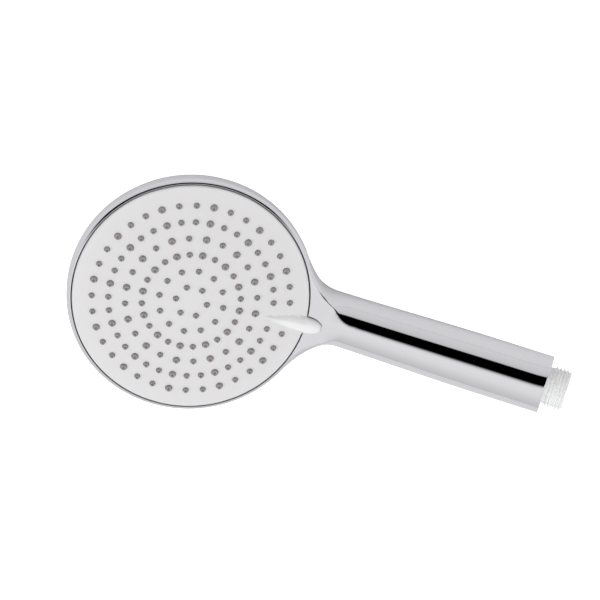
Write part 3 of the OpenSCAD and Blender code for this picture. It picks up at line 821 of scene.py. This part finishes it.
def end_tree(tree, geometry, material):
    """Ends a tree in Realize Instances and Set Material."""
    real = new_node(tree, "GeometryNodeRealizeInstances")
    tree.links.new(geometry, real.inputs[0])
    paint = new_node(tree, "GeometryNodeSetMaterial")
    tree.links.new(real.outputs[0], paint.inputs["Geometry"])
    tree.links.new(material, paint.inputs["Material"])
    tree.links.new(paint.outputs[0], new_node(tree, "NodeGroupOutput").inputs[0])
    return tree


def nozzle_tree():
    """Geometry nodes: a turned nub with a drilled tip stands on every point."""
    sizes = [("Height", "Float", 0.001), ("Root", "Float", 0.001), ("Segments", "Int", 12)]
    tree, entry = start_tree("nozzle_set", sizes, "Silicone")
    link = tree.links.new
    rows = [(1.0, -1.0), (1.0, 0.0), (0.96, 0.2), (0.86, 0.78), (0.80, 0.94), (0.70, 1.0), (0.46, 1.0),
            (0.36, 0.92), (0.30, 0.55), (0.0, 0.5)]
    grid = new_node(tree, "GeometryNodeMeshGrid")
    link(maths(tree, "ADD", entry.outputs["Segments"], 1.0), grid.inputs["Vertices X"])
    fill(grid, Vertices_Y=len(rows))
    spot = new_node(tree, "ShaderNodeSeparateXYZ")
    link(new_node(tree, "GeometryNodeInputPosition").outputs[0], spot.inputs[0])
    angle = maths(tree, "MULTIPLY", spot.outputs["X"], 2 * math.pi)
    even = maths(tree, "ADD", spot.outputs["Y"], 0.5)
    steps = [row / (len(rows) - 1) for row in range(len(rows))]
    radius = follow_profile(tree, even, [(t, row[0]) for t, row in zip(steps, rows)])
    height = follow_profile(tree, even, [(t, row[1] * 0.5 + 0.5) for t, row in zip(steps, rows)])
    level = maths(tree, "SUBTRACT", maths(tree, "MULTIPLY", height, 2.0), 1.0)
    above = maths(tree, "MULTIPLY", maths(tree, "MAXIMUM", level, 0.0), entry.outputs["Height"])
    below = maths(tree, "MULTIPLY", maths(tree, "MINIMUM", level, 0.0), entry.outputs["Root"])
    where = new_node(tree, "ShaderNodeCombineXYZ")
    link(maths(tree, "MULTIPLY", maths(tree, "COSINE", angle), radius), where.inputs["X"])
    link(maths(tree, "MULTIPLY", maths(tree, "SINE", angle), radius), where.inputs["Y"])
    link(maths(tree, "ADD", above, below), where.inputs["Z"])
    turned = new_node(tree, "GeometryNodeSetPosition")
    link(grid.outputs["Mesh"], turned.inputs["Geometry"])
    link(where.outputs[0], turned.inputs["Position"])
    merged = new_node(tree, "GeometryNodeMergeByDistance")
    fill(merged, Distance=1e-5)
    link(turned.outputs[0], merged.inputs["Geometry"])
    smooth = new_node(tree, "GeometryNodeSetShadeSmooth")
    link(merged.outputs[0], smooth.inputs[0])
    size = new_node(tree, "GeometryNodeInputNamedAttribute", data_type="FLOAT")
    fill(size, Name="nub_radius")
    scale = new_node(tree, "ShaderNodeCombineXYZ")
    link(size.outputs["Attribute"], scale.inputs["X"])
    link(size.outputs["Attribute"], scale.inputs["Y"])
    fill(scale, Z=1.0)
    stand = new_node(tree, "GeometryNodeInstanceOnPoints")
    link(entry.outputs["Geometry"], stand.inputs["Points"])
    link(smooth.outputs[0], stand.inputs["Instance"])
    link(scale.outputs[0], stand.inputs["Scale"])
    return end_tree(tree, stand.outputs[0], entry.outputs["Silicone"])


def run_tree(name, carrier, tree, **values):
    """Evaluates a tree on carrier with its inputs set, and returns the result as a plain mesh object."""
    modifier = carrier.modifiers.new(name, "NODES")
    modifier.node_group = tree
    for item in tree.interface.items_tree:
        if item.item_type == "SOCKET" and item.in_out == "INPUT" and item.name in values:
            modifier[item.identifier] = values[item.name]
    bpy.context.view_layer.update()
    depsgraph = bpy.context.evaluated_depsgraph_get()
    mesh = bpy.data.meshes.new_from_object(carrier.evaluated_get(depsgraph), depsgraph=depsgraph)
    carrier.modifiers.remove(modifier)
    bpy.data.objects.remove(carrier)
    mesh.name = name
    return add_object(name, mesh)


def face_outwards(piece):
    """Turns a piece's faces outwards."""
    mesh = bmesh.new()
    mesh.from_mesh(piece.data)
    bmesh.ops.recalc_face_normals(mesh, faces=mesh.faces[:])
    mesh.to_mesh(piece.data)
    mesh.free()
    piece.data.update()


def build_nozzles():
    nozzles = nozzle_places()
    r = np.hypot(nozzles[:, 0], nozzles[:, 1])
    turned = np.arctan2(nozzles[:, 1], nozzles[:, 0]) + LEVER_TURN
    spots = np.stack([r * np.cos(turned), r * np.sin(turned), dome_height(r)], 1)
    mesh = bpy.data.meshes.new("nozzle_points")
    mesh.from_pydata(to_row(spots).tolist(), [], [])
    mesh.attributes.new("nub_radius", "FLOAT", "POINT").data.foreach_set(
        "value", (nozzles[:, 2] / 1000).astype(np.float32))
    carrier = add_object("nozzle_points", mesh)
    piece = run_tree("nozzles", carrier, nozzle_tree(), Height=NUB_HEIGHT / 1000, Root=(FACE_T + 0.6) / 1000,
                     Segments=14, Silicone=MATERIALS["nozzle_silicone"])
    face_outwards(piece)
    return finish_piece(piece, "spray_face", "nozzle_silicone", "nozzle_mat")


def turned_piece(name, profile, material):
    """A solid turned about the head's axis from a closed profile of (height, radius)."""
    count = TURN_SIDES
    turns = around(count)
    ring = np.stack([np.cos(turns), np.sin(turns), np.zeros(count)], 1)
    rows = [np.array([0.0, 0.0, height]) + radius * ring for height, radius in profile]
    points = np.concatenate(rows)
    faces = []
    for row in range(len(profile)):
        a, b = row * count, (row + 1) % len(profile) * count
        faces += [[a + v, a + (v + 1) % count, b + (v + 1) % count, b + v] for v in range(count)]
    return make_object(name, points, faces, material)


def sharpen(piece, angle=SMOOTH_ANGLE):
    """Merges doubles, turns faces outwards and keeps edges sharper than angle crisp."""
    mesh = bmesh.new()
    mesh.from_mesh(piece.data)
    bmesh.ops.remove_doubles(mesh, verts=mesh.verts[:], dist=1e-6)
    bmesh.ops.recalc_face_normals(mesh, faces=mesh.faces[:])
    for edge in mesh.edges:
        edge.smooth = len(edge.link_faces) == 2 and edge.calc_face_angle(0) < angle
    mesh.to_mesh(piece.data)
    mesh.free()
    piece.data.update()
    return piece


def build_mat_sheet():
    steps = np.linspace(MAT_R, 0.02, 26)
    top = [(float(dome_height(r)) - FACE_T - 0.05, r) for r in steps]
    bottom = [(float(dome_height(r)) - FACE_T - MAT_T, r) for r in steps[::-1]]
    piece = sharpen(turned_piece("mat_sheet", top + bottom, MATERIALS["nozzle_silicone"]))
    return finish_piece(piece, "spray_face", "nozzle_silicone")


build_nozzles()
build_mat_sheet()


# ---- Water tube with its threaded inlet ----

STUB_LEN = 10.7
MOUTH_S = GRIP_LEN + STUB_LEN
THREAD_R = 10.48
THREAD_ROOT_R = 9.32
THREAD_PITCH = 1.814
THREAD_LAND = 0.3
THREAD_ROWS = 12
THREAD_START_S = 129.6
THREAD_END_S = 138.9
TUBE_R = 9.0
TUBE_BORE_R = 6.5
VALVE_BORE_R = 7.62
VALVE_STEP_S = 122.3
COLLAR_R = 11.35
COLLAR_S = 120.5
NOSE_START_S = -4.5
NOSE_END_S = 7.5
NOSE_R = 6.5
TUBE_FLOOR_S = 11.5
RIB_STARTS = (60, 100)
RIB_LEN = 2
RIB_R = 11.2


def thread_radius(s, angle):
    """Outer radius of the right-hand thread at a place along the stub."""
    phase = (s - THREAD_START_S) / THREAD_PITCH + angle / (2 * math.pi)
    off = np.abs(phase - np.round(phase)) * THREAD_PITCH
    depth = THREAD_R - THREAD_ROOT_R
    flank = depth * math.tan(math.radians(27.5))
    rise = np.clip((THREAD_LAND / 2 + flank - off) / flank, 0, 1)
    runout = ease((s - THREAD_START_S) / 1.4) * ease((THREAD_END_S - s) / 0.9)
    return THREAD_ROOT_R + depth * rise * runout


def build_water_tube():
    """The tube is turned; on the stub the mesh rows follow the helix, so every crest runs along one row."""
    ribs = []
    for start in RIB_STARTS:
        ribs += [(start, TUBE_R), (start, RIB_R), (start + RIB_LEN, RIB_R), (start + RIB_LEN, TUBE_R)]
    before = [(NOSE_START_S, 5.0), (NOSE_START_S, 6.2), (NOSE_START_S + 0.3, NOSE_R), (NOSE_END_S, NOSE_R),
              (NOSE_END_S, TUBE_R), *ribs, (COLLAR_S, TUBE_R), (COLLAR_S, COLLAR_R - 0.3),
              (COLLAR_S + 0.3, COLLAR_R), (GRIP_LEN - 0.2, COLLAR_R), (GRIP_LEN, COLLAR_R - 0.2),
              (GRIP_LEN, THREAD_ROOT_R + 0.25), (GRIP_LEN + 0.08, THREAD_ROOT_R + 0.08)]
    after = [(MOUTH_S - 0.25, THREAD_ROOT_R), (MOUTH_S - 0.08, THREAD_ROOT_R - 0.08),
             (MOUTH_S, THREAD_ROOT_R - 0.28), (MOUTH_S, VALVE_BORE_R + 0.3),
             (MOUTH_S - 0.1, VALVE_BORE_R + 0.08), (MOUTH_S - 0.35, VALVE_BORE_R),
             (VALVE_STEP_S, VALVE_BORE_R), (VALVE_STEP_S, TUBE_BORE_R),
             (TUBE_FLOOR_S, TUBE_BORE_R), (TUBE_FLOOR_S, 5.0)]
    count = 96
    turns = around(count)
    ring = np.cos(turns)[:, None] * GRIP_SIDE + np.sin(turns)[:, None] * GRIP_UP
    low, high = GRIP_LEN + 0.3, THREAD_END_S
    step = THREAD_PITCH / THREAD_ROWS
    levels = int(math.ceil((high - low + THREAD_PITCH) / step)) + 1
    stub = low + np.arange(levels)[:, None] * step - THREAD_PITCH * turns[None] / (2 * math.pi)
    stub = np.clip(stub + (THREAD_START_S - low) % step, low, high)
    rows = [ROOT + GRIP_DIR * place + radius * ring for place, radius in before]
    first = len(rows)
    for level in stub:
        radius = thread_radius(level, turns)
        rows.append(ROOT + GRIP_DIR * level[:, None] + radius[:, None] * ring)
    last = len(rows) - 1
    rows += [ROOT + GRIP_DIR * place + radius * ring for place, radius in after]

    def spot(row, turn):
        if turn < count:
            return row * count + turn
        if first <= row <= last:
            row = max(row - THREAD_ROWS, first)
        return row * count

    faces = []
    for row in range(len(rows)):
        above = (row + 1) % len(rows)
        for v in range(count):
            faces.append([spot(row, v), spot(row, v + 1), spot(above, v + 1), spot(above, v)])
    piece = make_object("water_tube_threaded", np.concatenate(rows), faces, MATERIALS["white_acetal"])
    sharpen(piece, math.radians(50))
    return finish_piece(piece, "body", "white_acetal", "water_tube")


build_water_tube()


VALVE_SPRING_END_S = 126.43
VALVE_SPRING_LEN = 5.75
VALVE_SPRING_R = 1.7
VALVE_WIRE_D = 0.36
PORT_SPRING_X = -16.0
PORT_SPRING_Z = -17.95
PORT_SPRING_LEN = 3.4
PORT_SPRING_R = 4.2
PORT_WIRE_D = 0.5


def coil_tree():
    """Geometry nodes: round wire swept along a spiral, its ends capped."""
    sizes = [(label, "Float", 0.001) for label in ("Mean Radius", "Wire Radius", "Height", "Turns")]
    tree, entry = start_tree("coil_spring", sizes, "Steel")
    link = tree.links.new
    spiral = new_node(tree, "GeometryNodeCurveSpiral")
    fill(spiral, Resolution=28)
    link(entry.outputs["Turns"], spiral.inputs["Rotations"])
    link(entry.outputs["Mean Radius"], spiral.inputs["Start Radius"])
    link(entry.outputs["Mean Radius"], spiral.inputs["End Radius"])
    link(entry.outputs["Height"], spiral.inputs["Height"])
    wire = new_node(tree, "GeometryNodeCurvePrimitiveCircle", mode="RADIUS")
    fill(wire, Resolution=10)
    link(entry.outputs["Wire Radius"], wire.inputs["Radius"])
    sweep = new_node(tree, "GeometryNodeCurveToMesh")
    fill(sweep, Fill_Caps=True)
    link(spiral.outputs[0], sweep.inputs["Curve"])
    link(wire.outputs[0], sweep.inputs["Profile Curve"])
    return end_tree(tree, sweep.outputs[0], entry.outputs["Steel"])


def build_spring(name, tree, start, axis, radius, wire, length, turns):
    """A coil standing on start; radius is the coil's mean and wire its thickness, in millimetres."""
    carrier = add_object(name + "_seed", bpy.data.meshes.new(name + "_seed"))
    values = {"Mean Radius": radius / 1000, "Wire Radius": wire / 2000, "Height": (length - wire) / 1000,
              "Turns": float(turns), "Steel": MATERIALS["stainless"]}
    piece = run_tree(name, carrier, tree, **values)
    turn = Vector(axis).to_track_quat("Z", "Y").to_matrix().to_4x4()
    lift = Vector(to_row(np.array(start) + np.array(axis) * wire / 2))
    piece.data.transform(Matrix.Translation(lift) @ turn)
    sharpen(piece)
    piece.data.polygons.foreach_set("use_smooth", [True] * len(piece.data.polygons))
    return piece


def build_springs():
    tree = coil_tree()
    start = ROOT + GRIP_DIR * VALVE_SPRING_END_S
    valve = build_spring("valve_spring_coil", tree, start, GRIP_DIR,
                         VALVE_SPRING_R, VALVE_WIRE_D, VALVE_SPRING_LEN, 5)
    finish_piece(valve, "cartridge", "stainless", "valve_spring")
    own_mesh(valve)
    port = build_spring("port_spring_coil", tree, (PORT_SPRING_X, 0, PORT_SPRING_Z), (0, 0, 1),
                        PORT_SPRING_R, PORT_WIRE_D, PORT_SPRING_LEN, 4)
    finish_piece(port, "body", "stainless", "port_spring")


build_springs()


# ---- Studio: a pale floor and a soft, even tent of light with one dark card above the camera ----

FLOOR_SIZE = 7.0


def build_floor():
    mesh = bpy.data.meshes.new("studio_floor")
    turns = around(64)
    mesh.from_pydata([(FLOOR_SIZE * math.cos(a), FLOOR_SIZE * math.sin(a), FLOOR_Z) for a in turns], [],
                     [list(range(64))])
    material = bpy.data.materials.new("pale_floor")
    material.use_nodes = True
    tree = material.node_tree
    tree.nodes.clear()
    out = new_node(tree, "ShaderNodeOutputMaterial")
    shader = new_node(tree, "ShaderNodeBsdfPrincipled")
    fill(shader, Base_Color=(0.77, 0.77, 0.78, 1), Roughness=0.9, Specular_IOR_Level=0.1,
         Emission_Color=(1, 1, 1, 1))
    seen = new_node(tree, "ShaderNodeLightPath").outputs["Is Camera Ray"]
    tree.links.new(maths(tree, "MULTIPLY_ADD", seen, 0.9, 0.05), shader.inputs["Emission Strength"])
    tree.links.new(shader.outputs[0], out.inputs[0])
    mesh.materials.append(material)
    floor = add_object("studio_floor", mesh)


# Brightness of the tent by angle above the camera's own axis, in degrees
TENT_RAMP = [(-180, 0.62), (-112, 0.62), (-90, 0.70), (-70, 0.78), (-50, 0.87), (-28, 0.90),
             (-19, 0.84), (-14, 0.56), (-7.8, 0.0), (26.5, 0.0), (28, 0.60), (38, 0.70), (57, 0.76),
             (75, 0.70), (110, 0.68), (180, 0.68)]
CARD_LEFT = 52.0
CARD_RIGHT = 58.0
CARD_FADE_START = 0.82
CARD_FADE_END = 1.12


def build_tent():
    world = bpy.data.worlds.new("light_tent")
    bpy.context.scene.world = world
    world.use_nodes = True
    tree = world.node_tree
    tree.nodes.clear()
    link = tree.links.new
    out = new_node(tree, "ShaderNodeOutputWorld")
    back = new_node(tree, "ShaderNodeBackground")
    direction = new_node(tree, "ShaderNodeTexCoord").outputs["Generated"]

    def along(axis):
        node = new_node(tree, "ShaderNodeVectorMath", operation="DOT_PRODUCT")
        link(direction, node.inputs[0])
        node.inputs[1].default_value = axis
        return node.outputs["Value"]

    height = maths(tree, "ARCTAN2", along(CAMERA_UP), along(CAMERA_BACK))
    ramp = new_node(tree, "ShaderNodeValToRGB")
    stops = ramp.color_ramp.elements
    for angle, value in TENT_RAMP:
        place = (angle + 180) / 360
        stop = stops[0] if place == 0 else stops[-1] if place == 1 else stops.new(place)
        stop.color = (value, value, value * 1.015, 1)
    link(maths(tree, "MULTIPLY_ADD", height, 1 / (2 * math.pi), 0.5), ramp.inputs["Fac"])
    sideways = maths(tree, "ARCSINE", along(CAMERA_RIGHT))
    sideways = maths(tree, "MAXIMUM", maths(tree, "MULTIPLY", sideways, -1 / math.radians(CARD_LEFT)),
                     maths(tree, "MULTIPLY", sideways, 1 / math.radians(CARD_RIGHT)))
    wide = soft_step(tree, sideways, CARD_FADE_START, CARD_FADE_END)
    beyond = new_node(tree, "ShaderNodeMix", data_type="RGBA")
    fill(beyond, B=(0.78, 0.78, 0.80, 1))
    link(wide, beyond.inputs["Factor"])
    link(ramp.outputs["Color"], beyond.inputs["A"])
    seen = new_node(tree, "ShaderNodeLightPath").outputs["Is Camera Ray"]
    plain = new_node(tree, "ShaderNodeMix", data_type="RGBA")
    fill(plain, B=(1, 1, 1, 1))
    link(seen, plain.inputs["Factor"])
    link(beyond.outputs["Result"], plain.inputs["A"])
    link(plain.outputs["Result"], back.inputs["Color"])
    link(back.outputs[0], out.inputs[0])


def build_key():
    """A wide soft key on the matt parts; the chrome mirrors only the tent."""
    data = bpy.data.lights.new("soft_key", "SUN")
    data.energy = 1.25
    data.angle = math.radians(70)
    key = add_object("soft_key", data)
    aim = CAMERA_BACK - 0.45 * CAMERA_UP - 0.25 * CAMERA_RIGHT
    key.matrix_world = aim.to_track_quat("Z", "Y").to_matrix().to_4x4()
    key.visible_glossy = False


build_floor()
build_tent()
build_key()
